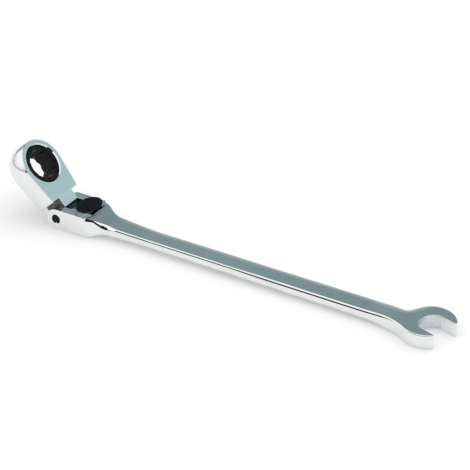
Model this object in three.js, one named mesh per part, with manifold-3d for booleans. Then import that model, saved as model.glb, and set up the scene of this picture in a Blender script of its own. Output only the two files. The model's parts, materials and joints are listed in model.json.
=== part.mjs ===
// A 13 mm locking flex-head ratcheting combination wrench.
// Millimetres, +Z up. The wrench lies on its flat underside with the open end towards +X and the
// ratchet head raised. The pieces are built about a point on the ground right below the pivot pin,
// and the whole is moved at the end so that its origin is the middle of the bottom of its box.

import * as THREE from "three";
import { mergeVertices } from "three/addons/utils/BufferGeometryUtils.js";
import Module from "manifold-3d";

// Overall
const acrossFlats = 13; // nut size of both ends
const pinToJaw = 186; // pivot pin to the centre of the open end
const pinToDrive = 23.7; // pivot pin to the centre of the ratchet
const lockToothPitch = THREE.MathUtils.degToRad(47 / 3); // one step of the lock
const restSteps = 3; // lock steps that the head is flexed up from straight

// Yoke, the forked end of the handle
const yokeWidth = 18.8;
const yokeThickness = 9.6;
const yokeLength = 14.2; // pivot pin to where the waist starts
const waistLength = 13;
const waistEase = 5.5; // how long the waist's curve stays level at each end
const slotClearance = 0.2; // between the tongue and each ear
const slotRelief = 0.6; // between the upright head, or the tongue, and the bottom of the slot

// Shank
const shankTop = 5.5;
const shankBottomAtYoke = 1.8;
const shankBottomAtJaw = 1.2;
const shankHalfWidthAtYoke = 5.6;
const shankHalfWidthAtJaw = 6.0;

// Open end
const jawThickness = 6.6;
const jawWall = 5.8; // metal beside the opening
const jawSetBack = 1.6; // how far the jaw's outer circle lies behind the centre of the opening
const jawOffset = THREE.MathUtils.degToRad(15); // turn of the opening from the handle's line
const jawReach = 8.1; // centre to the jaw tips, along the opening
const jawTipRound = 1.0;
const throatEase = 0.3; // how much wider than the opening the throat is on each side
const throatRise = 1.5; // how much nearer than the flats the bottom of the throat is
const neckLength = 20; // over which the shank grows into the open end
const frontNeckAngle = THREE.MathUtils.degToRad(125); // where the flares touch the jaw's circle
const backNeckAngle = THREE.MathUtils.degToRad(150);
const frontFlare = 5; // how long each flare keeps to the tangent of that circle
const backFlare = 1.6;
const backWaistHalfWidth = 4.6; // the narrow spot behind the open end, on the back only
const backWaistPlace = 15; // from the centre of the opening
const backWaistSlope = 0.06;
const backWaistLength = 19;

// Pivot pin
const pinRadius = 2.15;
const pinClearance = 0.05;
const pinInset = 0.15; // how far each end lies under the yoke's side
const pinNotchWidth = 0.7;
const pinNotchHeight = 0.65;
const pinNotchDepth = 0.4;

// Ratchet head
const headThickness = 9.9;
const housingWall = 1.05; // bore to the edge of the flat face
const headCrown = 0.6; // how far the side bulges past the outline of the flat face
const shoulderDistance = 6.6; // pivot pin to the shoulders
const shoulderHalfWidth = 9.5;
const sideBand = 1.0; // upright band between the two rounded halves of the side

// Tongue and its locking teeth
const tongueWidth = 9.8;
const tongueGroundGap = 0.1; // tongue's toothed end to the ground
const tongueStep = 2.1; // pivot pin to where the tongue takes the head's full thickness
const lockToothDepth = 0.6;
const lockToothRootWidth = 0.75;
const lockToothTipWidth = 0.4;
const tongueGrooves = 15;

// Ratchet gear
const gearTeeth = 72;
const gearWall = 1.394; // corner of the drive to the collar that turns in the head's face
const gearShoulder = 1.45; // collar to the tips of the teeth
const gearToothDepth = 0.5;
const gearTipShare = 0.2; // of the pitch, across the tip of a tooth
const gearRootShare = 0.8;
const gearBandTop = 3.2; // the toothed band, from the middle of the head's thickness
const gearBandBottom = -2.3;
const gearFaceInset = 0.15; // gear's ends under the head's faces
const gearClearance = 0.2;
const driveLead = 0.8; // depth of the lead-in at each mouth of the drive

// Retaining ring under the gear
const ringThickness = 0.7;
const ringBite = 0.5; // how deep the ring sits in its groove
const ringClearance = 0.12;
const ringGap = 3.0;

// Pawl
const pawlWidth = 8.4;
const pawlLength = 3.3;
const pawlMesh = 0.08; // gap between the pawl's teeth and the gear's
const pawlTravel = 0.65;
const pawlCornerReach = 0.4; // how far the pawl's corners run past the circle of the tips
const pawlClearance = 0.2;
const plungerRadius = 1.05;
const plungerLength = 1.3;
const pawlSpringRadius = 0.85;
const pawlSpringWire = 0.28;
const pawlSpringTurns = 4;
const pawlSpringSeat = 5.4; // pivot pin to the bottom of the spring's hole

// Lock bar in its channel behind the tongue
const channelFloor = 1.6;
const shelfDepth = 3.4; // under the yoke's top: the channel narrows there, which keeps the bar down
const channelNeckHalfWidth = 4.4;
const channelLength = 11.0; // from the bottom of the slot
const barClearance = 0.15;
const barLength = 7.6;
const barNoseHalfHeight = 1.6; // of the toothed nose that reaches into the slot
const barTopInset = 0.2;
const barTeeth = 3;
const lockMesh = 0.15; // gap between the bar's teeth and the tongue's
const springPocketDepth = 3.0;
const lockSpringRadius = 1.25;
const lockSpringWire = 0.4;
const lockSpringTurns = 6;
const springEndGap = 0.1;

// Thumb button
const buttonHalfLength = 5.4;
const buttonHalfWidth = 7.6;
const buttonCentre = 12.0; // pivot pin to the button's middle
const buttonFrontCut = 0.5; // taken off the side that faces the head
const buttonHeight = 1.8;
const buttonLift = 0.15; // clearance over the yoke
const buttonCrown = 0.35;
const ridgeCount = 5;
const ridgePitch = 1.6;
const ridgeWidth = 0.7;
const ridgeHeight = 0.25;
const buttonPinRadius = 0.9;
const buttonPinDepth = 2.8; // into the bar
const buttonPinRise = 0.8; // into the button

const roundSegments = 48;
const smallSegments = 24;
const curveSegments = 10;
const wireSegments = 4;
const stepsPerTurn = 12; // of a spring
const lap = 1; // how far the parts of one solid run into each other, and cuts run past a face

// Worked out from the sizes above
const pinHeight = yokeThickness / 2;
const tongueRadius = pinHeight - tongueGroundGap;
const slotHalfWidth = tongueWidth / 2 + slotClearance;
const slotBottom = Math.max(headThickness / 2, tongueRadius) + slotRelief;
const headRaise = restSteps * lockToothPitch;
const jawRadius = acrossFlats / 2 + jawWall;
const throatRadius = acrossFlats / 2 + throatEase;
const throatDepth = acrossFlats / 2 - throatRise; // centre of the opening to its bottom
const pinHoleRadius = pinRadius + pinClearance;
const gearFace = headThickness / 2 - gearFaceInset;
const gearCollarRadius = acrossFlats / Math.sqrt(3) + gearWall;
const gearTipRadius = gearCollarRadius + gearShoulder;
const housingBoreRadius = gearTipRadius + gearClearance;
const housingMouthRadius = gearCollarRadius + gearClearance;
const headRadius = housingBoreRadius + housingWall; // of the flat face, about the drive
const ringMiddle = gearBandBottom - ringClearance * 2 - ringThickness / 2;
const pawlBack = pinToDrive - gearTipRadius - pawlLength;
const channelEnd = slotBottom + channelLength;
const barFront = slotBottom;
const channelShelf = yokeThickness - shelfDepth;
const barMiddle = (channelFloor + channelShelf) / 2;
const buttonBottom = yokeThickness + buttonLift;

const steel = { color: 0xb9c2c6, metalness: 1, roughness: 0.12 };
const blackOxide = { color: 0x1c1d1f, metalness: 0.6, roughness: 0.45 };
const springSteel = { color: 0x8d9092, metalness: 1, roughness: 0.35 };
const blackPlastic = { color: 0x17181a, metalness: 0, roughness: 0.55 };

const wasm = await Module();
wasm.setup();

// Solids

function toSolid(geometry) {
  geometry.deleteAttribute("normal");
  geometry.deleteAttribute("uv");
  const merged = mergeVertices(geometry, 1e-4);
  const mesh = new wasm.Mesh({
    numProp: 3,
    vertProperties: merged.attributes.position.array,
    triVerts: new Uint32Array(merged.index.array),
  });
  return new wasm.Manifold(mesh);
}

function toGeometry(solid) {
  const mesh = solid.getMesh();
  const geometry = new THREE.BufferGeometry();
  geometry.setAttribute("position", new THREE.BufferAttribute(mesh.vertProperties, 3));
  geometry.setIndex(new THREE.BufferAttribute(mesh.triVerts, 1));
  return geometry;
}

function addMesh(group, name, solid, finish) {
  const geometry = toGeometry(solid);
  geometry.computeVertexNormals();
  const mesh = new THREE.Mesh(geometry, new THREE.MeshStandardMaterial(finish));
  mesh.name = name;
  group.add(mesh);
  return mesh;
}

// A shape in the XY plane, filled from one height to another.
function slab(shape, low, high, segments = curveSegments) {
  const settings = { depth: high - low, bevelEnabled: false, curveSegments: segments };
  return toSolid(new THREE.ExtrudeGeometry(shape, settings).translate(0, 0, low));
}

// A shape whose points are (x, z), filled from y = -half to y = half.
function crossSlab(shape, half, segments = curveSegments) {
  const settings = { depth: 2 * half, bevelEnabled: false, curveSegments: segments };
  const geometry = new THREE.ExtrudeGeometry(shape, settings);
  return toSolid(geometry.rotateX(Math.PI / 2).translate(0, half, 0));
}

function box(x0, x1, y0, y1, z0, z1) {
  const geometry = new THREE.BoxGeometry(x1 - x0, y1 - y0, z1 - z0);
  return toSolid(geometry.translate((x0 + x1) / 2, (y0 + y1) / 2, (z0 + z1) / 2));
}

// A round bar along Z; turn it with the two helpers below.
function post(radius, low, high, segments = roundSegments) {
  const geometry = new THREE.CylinderGeometry(radius, radius, high - low, segments);
  return toSolid(geometry.rotateX(Math.PI / 2).translate(0, 0, (low + high) / 2));
}

function roundAlongY(radius, half, x, z) {
  const geometry = new THREE.CylinderGeometry(radius, radius, 2 * half, roundSegments);
  return toSolid(geometry.translate(x, 0, z));
}

function roundAlongX(radius, x0, x1, z) {
  const geometry = new THREE.CylinderGeometry(radius, radius, x1 - x0, smallSegments);
  return toSolid(geometry.rotateZ(Math.PI / 2).translate((x0 + x1) / 2, 0, z));
}

// A compression spring along X: wire carried along a helix that closes up at both ends.
class SpringLine extends THREE.Curve {
  constructor(start, length, radius, wireRadius, turns, height) {
    super();
    Object.assign(this, { start, length, radius, wireRadius, turns, height });
  }

  getPoint(t, target = new THREE.Vector3()) {
    const run = this.length - 2 * this.wireRadius;
    const angle = 2 * Math.PI * this.turns * t;
    const x = this.start + this.wireRadius + run * t;
    const y = this.radius * Math.sin(angle);
    const z = this.height + this.radius * Math.cos(angle);
    return target.set(x, y, z);
  }
}

function spring(start, end, outerRadius, wire, turns, height) {
  const wireRadius = wire / 2;
  const line = new SpringLine(start, end - start, outerRadius - wireRadius, wireRadius, turns, height);
  const section = new THREE.Shape().absarc(0, 0, wireRadius, 0, 2 * Math.PI);
  const settings = {
    steps: turns * stepsPerTurn,
    extrudePath: line,
    curveSegments: wireSegments,
    bevelEnabled: false,
  };
  return toSolid(new THREE.ExtrudeGeometry(section, settings));
}

// Handle

function handleSide() {
  const waistEnd = yokeLength + waistLength;
  const neckStart = pinToJaw - jawRadius - neckLength;
  const neckEnd = pinToJaw - jawRadius;
  const farEnd = pinToJaw + 2 * jawRadius;
  const ease = neckLength / 2;
  const shape = new THREE.Shape();
  shape.moveTo(0, 0);
  shape.absarc(0, pinHeight, pinHeight, -Math.PI / 2, Math.PI / 2, true);
  shape.lineTo(yokeLength, yokeThickness);
  shape.bezierCurveTo(
    yokeLength + waistEase, yokeThickness, waistEnd - waistEase, shankTop, waistEnd, shankTop,
  );
  shape.lineTo(neckStart, shankTop);
  shape.bezierCurveTo(
    neckStart + ease, shankTop, neckEnd - ease, jawThickness, neckEnd, jawThickness,
  );
  shape.lineTo(farEnd, jawThickness);
  shape.lineTo(farEnd, 0);
  shape.lineTo(neckEnd, 0);
  shape.bezierCurveTo(
    neckEnd - ease, 0, neckStart + ease, shankBottomAtJaw, neckStart, shankBottomAtJaw,
  );
  shape.lineTo(waistEnd, shankBottomAtYoke);
  shape.bezierCurveTo(
    waistEnd - waistEase, shankBottomAtYoke, yokeLength + waistEase, 0, yokeLength, 0,
  );
  shape.lineTo(0, 0);
  return shape;
}

// A point of the open end: along is measured down the opening, across from its middle line.
function jawPoint(along, across) {
  const cos = Math.cos(jawOffset);
  const sin = Math.sin(jawOffset);
  return new THREE.Vector2(
    pinToJaw + along * cos + across * sin,
    across * cos - along * sin,
  );
}

function handlePlan() {
  const half = yokeWidth / 2;
  const waistEnd = yokeLength + waistLength;
  const neckStart = pinToJaw - jawRadius - neckLength / 2;
  const flatHalf = acrossFlats / 2;
  const circle = jawPoint(-jawSetBack, 0);
  const tipAlong = jawReach - jawTipRound;
  const tipAcross = Math.sqrt((jawRadius - jawTipRound) ** 2 - (tipAlong + jawSetBack) ** 2);
  const tipTurn = Math.atan2(tipAcross, tipAlong + jawSetBack);
  const throatCentre = throatRadius - throatDepth;
  const throatStart = Math.sqrt(throatRadius ** 2 - flatHalf ** 2);
  const throatTurn = Math.atan2(flatHalf, -throatStart);

  // The flares meet the jaw's outer circle along its tangent.
  const frontTouch = -frontNeckAngle;
  const frontX = circle.x + jawRadius * Math.cos(frontTouch);
  const frontY = circle.y + jawRadius * Math.sin(frontTouch);
  const backX = circle.x + jawRadius * Math.cos(backNeckAngle);
  const backY = circle.y + jawRadius * Math.sin(backNeckAngle);

  const shape = new THREE.Shape();
  shape.moveTo(-pinHeight, -half);
  shape.lineTo(yokeLength, -half);
  shape.bezierCurveTo(
    yokeLength + waistEase, -half, waistEnd - waistEase, -shankHalfWidthAtYoke,
    waistEnd, -shankHalfWidthAtYoke,
  );
  shape.lineTo(neckStart - neckLength / 4, -shankHalfWidthAtJaw);
  shape.bezierCurveTo(
    neckStart, -shankHalfWidthAtJaw,
    frontX + frontFlare * Math.sin(frontTouch), frontY - frontFlare * Math.cos(frontTouch),
    frontX, frontY,
  );
  shape.absarc(circle.x, circle.y, jawRadius, frontTouch, -tipTurn - jawOffset, false);
  const frontTip = jawPoint(tipAlong, -tipAcross);
  shape.absarc(frontTip.x, frontTip.y, jawTipRound, -tipTurn - jawOffset, -jawOffset, false);
  const frontCorner = jawPoint(jawReach, -flatHalf);
  shape.lineTo(frontCorner.x, frontCorner.y);
  const throat = jawPoint(throatCentre, 0);
  shape.absarc(
    throat.x, throat.y, throatRadius, -throatTurn - jawOffset, throatTurn - jawOffset, true,
  );
  const backCorner = jawPoint(jawReach, flatHalf);
  shape.lineTo(backCorner.x, backCorner.y);
  const backTip = jawPoint(tipAlong, tipAcross);
  shape.absarc(backTip.x, backTip.y, jawTipRound, -jawOffset, tipTurn - jawOffset, false);
  shape.absarc(circle.x, circle.y, jawRadius, tipTurn - jawOffset, backNeckAngle, false);
  const waistX = pinToJaw - backWaistPlace;
  const shorter = backWaistLength / 4;
  const longer = backWaistLength / 2;
  shape.bezierCurveTo(
    backX - backFlare * Math.sin(backNeckAngle), backY + backFlare * Math.cos(backNeckAngle),
    waistX + lap, backWaistHalfWidth - backWaistSlope * lap,
    waistX, backWaistHalfWidth,
  );
  shape.bezierCurveTo(
    waistX - shorter, backWaistHalfWidth + backWaistSlope * shorter,
    waistX - longer, shankHalfWidthAtJaw,
    waistX - backWaistLength, shankHalfWidthAtJaw,
  );
  shape.lineTo(waistEnd, shankHalfWidthAtYoke);
  shape.bezierCurveTo(
    waistEnd - waistEase, shankHalfWidthAtYoke, yokeLength + waistEase, half, yokeLength, half,
  );
  shape.lineTo(-pinHeight, half);
  shape.lineTo(-pinHeight, -half);
  return shape;
}

function lockChannel() {
  const start = slotBottom - slotRelief;
  const base = box(start, channelEnd, -slotHalfWidth, slotHalfWidth, channelFloor, channelShelf);
  const neck = box(
    start, channelEnd, -channelNeckHalfWidth, channelNeckHalfWidth,
    channelShelf - barClearance, 2 * yokeThickness,
  );
  return base.add(neck);
}

function makeHandle() {
  const reach = 2 * yokeWidth;
  let body = slab(handlePlan(), 0, yokeThickness).intersect(crossSlab(handleSide(), reach));
  body = body.subtract(
    box(-2 * pinHeight, slotBottom, -slotHalfWidth, slotHalfWidth, -lap, yokeThickness + lap),
  );
  body = body.subtract(lockChannel());
  return body.subtract(roundAlongY(pinHoleRadius, reach, 0, pinHeight));
}

function makePivotPin() {
  const half = yokeWidth / 2 - pinInset;
  const rim = pinHeight - pinRadius;
  const notch = box(
    -pinNotchWidth / 2, pinNotchWidth / 2, -half - lap, -half + pinNotchDepth,
    rim - lap, rim + pinNotchHeight,
  );
  return roundAlongY(pinRadius, half, 0, pinHeight).subtract(notch);
}

// Ratchet head, built lying straight: +X from the pivot pin to the drive, +Z out of its upper face.

// Section of a lock tooth as (x, z) about the pivot pin: at angle turn, between two distances.
function lockTooth(turn, inner, outer, innerWidth, outerWidth) {
  const corners = [
    [inner, -innerWidth / 2],
    [outer, -outerWidth / 2],
    [outer, outerWidth / 2],
    [inner, innerWidth / 2],
  ];
  const points = corners.map(([along, across]) => new THREE.Vector2(
    along * Math.cos(turn) - across * Math.sin(turn),
    along * Math.sin(turn) + across * Math.cos(turn),
  ));
  return new THREE.Shape(points);
}

// Outline of the head's flat face: the round about the drive, and straight sides to the shoulders.
function headOutline() {
  const reach = pinToDrive - shoulderDistance;
  const far = Math.hypot(reach, shoulderHalfWidth);
  const corner = Math.atan2(shoulderHalfWidth, reach);
  const touch = Math.PI - corner - Math.acos(headRadius / far);
  const shape = new THREE.Shape();
  shape.moveTo(shoulderDistance, -shoulderHalfWidth);
  shape.absarc(pinToDrive, 0, headRadius, -touch, touch, false);
  shape.lineTo(shoulderDistance, shoulderHalfWidth);
  shape.lineTo(shoulderDistance, -shoulderHalfWidth);
  return shape;
}

function makeTongue() {
  const half = tongueWidth / 2;
  const flat = headThickness / 2;
  const bottomWidth = lockToothTipWidth + 2 * lockMesh;
  const mouthWidth = lockToothRootWidth + 2 * lockMesh;
  let tongue = roundAlongY(tongueRadius, half, 0, 0);
  tongue = tongue.add(box(tongueStep, shoulderDistance + lap, -half, half, -flat, flat));
  for (let i = 0; i < tongueGrooves; i += 1) {
    const turn = Math.PI + (i - (tongueGrooves - 1) / 2) * lockToothPitch;
    const groove = lockTooth(
      turn, tongueRadius - lockToothDepth, tongueRadius + lockToothDepth,
      bottomWidth, 2 * mouthWidth - bottomWidth,
    );
    tongue = tongue.subtract(crossSlab(groove, 2 * half));
  }
  return tongue;
}

function makeHousing() {
  const settings = {
    depth: sideBand,
    bevelThickness: (headThickness - sideBand) / 2,
    bevelSize: headCrown,
    bevelSegments: 3,
    curveSegments: roundSegments,
  };
  const shell = new THREE.ExtrudeGeometry(headOutline(), settings).translate(0, 0, -sideBand / 2);
  const pocketHalf = pawlWidth / 2 + pawlClearance;
  const pocketBack = pawlBack - pawlTravel - pawlClearance;
  const cuts = [
    post(housingBoreRadius, -headThickness, gearBandTop + gearClearance, 2 * roundSegments),
    post(housingMouthRadius, -headThickness, headThickness, 2 * roundSegments),
    post(
      housingBoreRadius + ringBite,
      ringMiddle - ringThickness / 2 - ringClearance,
      ringMiddle + ringThickness / 2 + ringClearance,
      2 * roundSegments,
    ),
  ].map((cut) => cut.translate([pinToDrive, 0, 0]));
  cuts.push(box(
    pocketBack, pinToDrive, -pocketHalf, pocketHalf, gearBandBottom, gearBandTop + gearClearance,
  ));
  cuts.push(roundAlongX(plungerRadius + pawlClearance, pawlSpringSeat, pinToDrive, pawlHeight()));
  cuts.push(roundAlongY(pinHoleRadius, 2 * tongueWidth, 0, 0));
  const wide = 2 * shoulderHalfWidth;
  const belowShoulders = box(0, shoulderDistance, -wide, wide, -headThickness, headThickness);
  let housing = toSolid(shell).subtract(belowShoulders).add(makeTongue());
  for (const cut of cuts) housing = housing.subtract(cut);
  return housing;
}

function pawlHeight() {
  return (gearBandTop + gearBandBottom) / 2;
}

// Outline of the gear's teeth about its own axis, grown outwards by grow on every side.
function toothOutline(grow) {
  const pitch = (2 * Math.PI) / gearTeeth;
  const tip = gearTipRadius + grow;
  const root = gearTipRadius - gearToothDepth + grow;
  const tipHalf = (pitch * gearTipShare) / 2 + grow / gearTipRadius;
  const rootHalf = (pitch * gearRootShare) / 2 + grow / gearTipRadius;
  const points = [];
  for (let i = 0; i < gearTeeth; i += 1) {
    for (const [radius, turn] of [[root, -rootHalf], [tip, -tipHalf], [tip, tipHalf], [root, rootHalf]]) {
      const angle = i * pitch + turn;
      points.push(new THREE.Vector2(radius * Math.cos(angle), radius * Math.sin(angle)));
    }
  }
  return new THREE.Shape(points);
}

// Two hexagons a twelfth of a turn apart.
function twelvePoint(flats) {
  const outer = flats / Math.sqrt(3);
  const inner = flats / 2 / Math.cos(Math.PI / 12);
  const points = [];
  for (let i = 0; i < 24; i += 1) {
    const radius = i % 2 ? inner : outer;
    const angle = (i * Math.PI) / 12;
    points.push(new THREE.Vector2(radius * Math.cos(angle), radius * Math.sin(angle)));
  }
  return new THREE.Shape(points);
}

function makeGear() {
  const mouth = acrossFlats / Math.sqrt(3);
  const profile = [
    [0, 0],
    [mouth - driveLead, 0],
    [mouth + lap, driveLead + lap],
    [0, driveLead + lap],
  ].map(([radius, height]) => new THREE.Vector2(radius, height));
  const cone = () => new THREE.LatheGeometry(profile, roundSegments).rotateX(Math.PI / 2);
  const leadDepth = gearFace - driveLead;
  const upper = toSolid(cone().translate(0, 0, leadDepth));
  const lower = toSolid(cone().rotateX(Math.PI).translate(0, 0, -leadDepth));
  return post(gearCollarRadius, -gearFace, gearFace, gearTeeth)
    .add(slab(toothOutline(0), gearBandBottom, gearBandTop))
    .subtract(slab(twelvePoint(acrossFlats), -headThickness, headThickness))
    .subtract(upper)
    .subtract(lower);
}

function makeRetainingRing() {
  const outer = housingBoreRadius + ringBite - ringClearance;
  const inner = housingMouthRadius + ringClearance;
  const open = ringGap / 2 / outer;
  const shape = new THREE.Shape();
  shape.absarc(0, 0, outer, open, 2 * Math.PI - open, false);
  shape.absarc(0, 0, inner, 2 * Math.PI - open, open, true);
  return slab(shape, ringMiddle - ringThickness / 2, ringMiddle + ringThickness / 2, roundSegments);
}

function makePawl() {
  const half = pawlWidth / 2;
  const corner = pinToDrive - Math.sqrt(gearTipRadius ** 2 - half ** 2);
  const blank = box(
    pawlBack, corner + pawlCornerReach, -half, half,
    gearBandBottom + pawlClearance, gearBandTop - pawlClearance,
  );
  const gear = slab(toothOutline(pawlMesh), 2 * gearBandBottom, 2 * gearBandTop);
  return blank.subtract(gear.translate([pinToDrive, 0, 0]));
}

function makePlunger() {
  const back = pawlBack - springEndGap - plungerLength;
  return roundAlongX(plungerRadius, back, pawlBack - springEndGap, pawlHeight());
}

function makePawlSpring() {
  return spring(
    pawlSpringSeat + springEndGap, pawlBack - plungerLength - 2 * springEndGap,
    pawlSpringRadius, pawlSpringWire, pawlSpringTurns, pawlHeight(),
  );
}

// Lock: a toothed bar that a spring holds in the tongue's teeth and the thumb button draws back.

function makeLockBar() {
  const back = barFront + barLength;
  const top = yokeThickness - barTopInset;
  const base = box(
    barFront, back, -slotHalfWidth + barClearance, slotHalfWidth - barClearance,
    channelFloor + barClearance, channelShelf - 2 * barClearance,
  );
  const neck = box(
    barFront, back, -channelNeckHalfWidth + barClearance, channelNeckHalfWidth - barClearance,
    channelFloor + barClearance, top,
  );
  const toothHalf = channelNeckHalfWidth - barClearance;
  const nose = box(
    pinHeight / 2, barFront + lap, -toothHalf, toothHalf,
    pinHeight - barNoseHalfHeight, pinHeight + barNoseHalfHeight,
  ).subtract(roundAlongY(tongueRadius + lockMesh, yokeWidth, 0, pinHeight));
  const pocket = roundAlongX(
    lockSpringRadius + springEndGap, back - springPocketDepth, back + lap, barMiddle,
  );
  const pinHole = post(
    buttonPinRadius + pinClearance, top - buttonPinDepth, 2 * yokeThickness, smallSegments,
  ).translate([buttonPinPlace(), 0, 0]);
  let bar = base.add(neck).add(nose).subtract(pocket).subtract(pinHole);
  for (let i = 0; i < barTeeth; i += 1) {
    const turn = (i - (barTeeth - 1) / 2) * lockToothPitch;
    const inner = tongueRadius - lockToothDepth + lockMesh;
    const outer = tongueRadius + 2 * lockMesh;
    const tooth = lockTooth(turn, inner, outer, lockToothTipWidth, lockToothRootWidth);
    bar = bar.add(crossSlab(tooth, toothHalf).translate([0, 0, pinHeight]));
  }
  return bar;
}

function buttonPinPlace() {
  return barFront + barLength / 2;
}

function makeLockSpring() {
  const start = barFront + barLength - springPocketDepth + springEndGap;
  return spring(
    start, channelEnd - springEndGap, lockSpringRadius, lockSpringWire, lockSpringTurns, barMiddle,
  );
}

function makeButton() {
  const outline = new THREE.Shape();
  outline.absellipse(
    0, 0, buttonHalfLength - buttonCrown, buttonHalfWidth - buttonCrown, 0, 2 * Math.PI,
  );
  const settings = {
    depth: buttonHeight - 2 * buttonCrown,
    bevelThickness: buttonCrown,
    bevelSize: buttonCrown,
    bevelSegments: 2,
    curveSegments: roundSegments,
  };
  const disc = new THREE.ExtrudeGeometry(outline, settings);
  disc.translate(buttonCentre, 0, buttonBottom + buttonCrown);
  const front = buttonCentre - buttonHalfLength + buttonFrontCut;
  const reach = 2 * buttonHalfWidth;
  const top = buttonBottom + buttonHeight;
  let button = toSolid(disc).subtract(box(0, front, -reach, reach, 0, 2 * top));
  for (let i = 0; i < ridgeCount; i += 1) {
    const x = buttonCentre + (i - (ridgeCount - 1) / 2) * ridgePitch;
    const room = Math.sqrt(1 - ((x - buttonCentre) / buttonHalfLength) ** 2);
    const half = buttonHalfWidth * room - 2 * buttonCrown;
    button = button.add(
      box(x - ridgeWidth / 2, x + ridgeWidth / 2, -half, half, top - buttonCrown, top + ridgeHeight),
    );
  }
  const pinHole = post(
    buttonPinRadius + pinClearance, 0, buttonBottom + buttonPinRise, smallSegments,
  );
  return button.subtract(pinHole.translate([buttonPinPlace(), 0, 0]));
}

function makeButtonPin() {
  const low = yokeThickness - barTopInset - buttonPinDepth + springEndGap;
  const high = buttonBottom + buttonPinRise - springEndGap;
  return post(buttonPinRadius, low, high, smallSegments).translate([buttonPinPlace(), 0, 0]);
}

// Assembly

const wrench = new THREE.Group();

const handle = new THREE.Group();
addMesh(handle, "handle_body", makeHandle(), steel);
addMesh(handle, "pivot_pin", makePivotPin(), blackOxide);
addMesh(handle, "lock_spring", makeLockSpring(), springSteel);
wrench.add(handle);

const lock = new THREE.Group();
addMesh(lock, "lock_bar", makeLockBar(), steel);
addMesh(lock, "lock_button", makeButton(), blackPlastic);
addMesh(lock, "button_pin", makeButtonPin(), springSteel);
wrench.add(lock);

// The head is built straight, pointing along +X: it is turned to point along -X and then raised.
const head = new THREE.Group();
head.position.z = pinHeight;
head.rotation.set(0, headRaise, Math.PI, "YXZ");
addMesh(head, "head_housing", makeHousing(), steel);
addMesh(head, "ratchet_gear", makeGear(), blackOxide).position.x = pinToDrive;
addMesh(head, "retaining_ring", makeRetainingRing(), springSteel).position.x = pinToDrive;
addMesh(head, "ratchet_pawl", makePawl(), blackOxide);
addMesh(head, "pawl_plunger", makePlunger(), springSteel);
addMesh(head, "pawl_spring", makePawlSpring(), springSteel);
wrench.add(head);

wrench.updateMatrixWorld(true);
const extent = new THREE.Box3().setFromObject(wrench, true);
const middle = extent.getCenter(new THREE.Vector3());
wrench.position.set(-middle.x, -middle.y, -extent.min.z);

export default wrench;
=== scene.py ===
import json
import math

import bmesh
import bpy
import numpy as np
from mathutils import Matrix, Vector


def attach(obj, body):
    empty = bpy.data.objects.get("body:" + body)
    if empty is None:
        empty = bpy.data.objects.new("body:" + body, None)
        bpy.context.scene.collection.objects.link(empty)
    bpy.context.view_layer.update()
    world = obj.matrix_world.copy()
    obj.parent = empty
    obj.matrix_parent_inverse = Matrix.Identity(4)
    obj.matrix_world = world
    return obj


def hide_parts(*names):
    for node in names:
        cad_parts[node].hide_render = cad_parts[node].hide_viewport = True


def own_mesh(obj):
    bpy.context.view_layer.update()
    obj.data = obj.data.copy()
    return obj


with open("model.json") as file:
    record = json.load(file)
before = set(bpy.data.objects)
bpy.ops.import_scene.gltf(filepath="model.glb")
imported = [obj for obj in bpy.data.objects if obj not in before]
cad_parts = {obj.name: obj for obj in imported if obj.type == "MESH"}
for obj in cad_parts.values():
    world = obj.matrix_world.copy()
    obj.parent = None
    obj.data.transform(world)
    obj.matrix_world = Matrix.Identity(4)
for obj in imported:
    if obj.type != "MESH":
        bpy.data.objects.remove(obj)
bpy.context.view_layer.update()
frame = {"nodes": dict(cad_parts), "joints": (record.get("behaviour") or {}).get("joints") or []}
mm = 0.001
joints = {joint["name"]: joint for joint in frame["joints"]}
pinAt = Vector(joints["head_flex"]["pos_m"])  # middle of the pivot pin
driveAt = Vector(joints["gear_spin"]["pos_m"])  # middle of the ratchet
headUp = Vector(joints["gear_spin"]["axis"]).normalized()
headAlong = (driveAt - pinAt).normalized()
headAcross = headUp.cross(headAlong)
print("frame loaded:", len(frame["nodes"]), "nodes")


# Sizes are in millimetres. The handle's own axes start on the ground under the pivot pin, +X to the open end.
# The head's own axes start at the pivot pin: first along to the drive, then across, then out of the upper face.
def handlePlace(points):
    return np.asarray(points, float) * mm + np.array([pinAt.x, pinAt.y, 0.0])


def headPlace(points):
    points = np.asarray(points, float) * mm
    axes = np.array([headAlong, headAcross, headUp])
    return points @ axes + np.array(pinAt)


def addObject(name, data):
    item = bpy.data.objects.new(name, data)
    bpy.context.scene.collection.objects.link(item)
    return item


# One solid's surface, gathered from grids of points and flat outlines that meet edge to edge.
class Surface:
    def __init__(self):
        self.points = []
        self.faces = []
        self.count = 0

    # A grid of rows by columns: each face joins four neighbours, and a closed direction joins last to first.
    def addGrid(self, grid, closedRows=False, closedColumns=False):
        rows, columns = grid.shape[:2]
        number = self.count + np.arange(rows * columns).reshape(rows, columns)
        number = np.pad(number, ((0, closedRows), (0, closedColumns)), mode="wrap")
        corners = [number[:-1, :-1], number[:-1, 1:], number[1:, 1:], number[1:, :-1]]
        self.points.append(grid.reshape(-1, 3))
        self.faces.extend(np.stack(corners, -1).reshape(-1, 4).tolist())
        self.count += rows * columns

    def addOutline(self, loop):
        self.points.append(loop)
        self.faces.append(list(range(self.count, self.count + len(loop))))
        self.count += len(loop)

    # Merges doubles, so that the grids become one closed skin, and turns its faces outwards.
    def make(self, name, place):
        mesh = bpy.data.meshes.new(name)
        mesh.from_pydata(place(np.concatenate(self.points)).tolist(), [], self.faces)
        work = bmesh.new()
        work.from_mesh(mesh)
        bmesh.ops.remove_doubles(work, verts=work.verts, dist=2e-6)
        bmesh.ops.dissolve_degenerate(work, edges=work.edges, dist=1e-6)
        bmesh.ops.recalc_face_normals(work, faces=work.faces)
        work.to_mesh(mesh)
        work.free()
        return addObject(name, mesh)


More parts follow.
